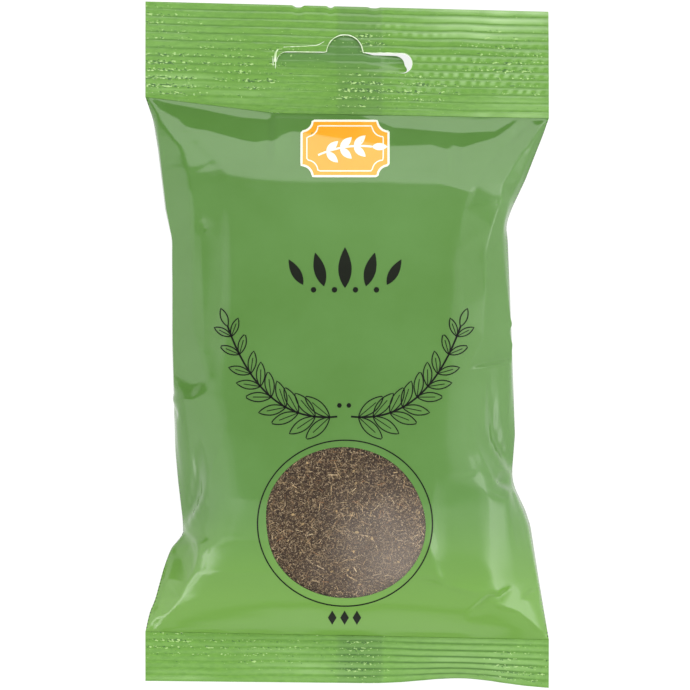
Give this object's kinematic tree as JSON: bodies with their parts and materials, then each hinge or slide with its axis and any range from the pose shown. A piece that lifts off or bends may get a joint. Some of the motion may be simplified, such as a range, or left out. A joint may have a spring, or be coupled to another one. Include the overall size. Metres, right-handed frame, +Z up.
{
  "type": "herb packet",
  "caption": "Sealed film pillow pouch with crimped ends, a punched hang slot and a round clear window over the dried thyme inside.",
  "frame": {"origin": "on the surface that the packet lies on, under the middle of its box", "axes": "+Z up out of the printed front, +Y along the packet towards the hang slot, +X to the right seen from the front"},
  "size_m": [0.095, 0.1618, 0.026],
  "materials": {
    "printed_film": "leaf green printed laminate film with a soft gloss",
    "clear_film": null,
    "dried_thyme": "matt grey-brown rubbed herb with pale stalk bits"
  },
  "bodies": {
    "root": {"front_film": "printed_film", "window_film": "clear_film", "back_film": "printed_film", "fin_seal": "printed_film", "top_seal": "printed_film", "bottom_seal": "printed_film", "thyme_fill": "dried_thyme"}
  },
  "joints": []
}
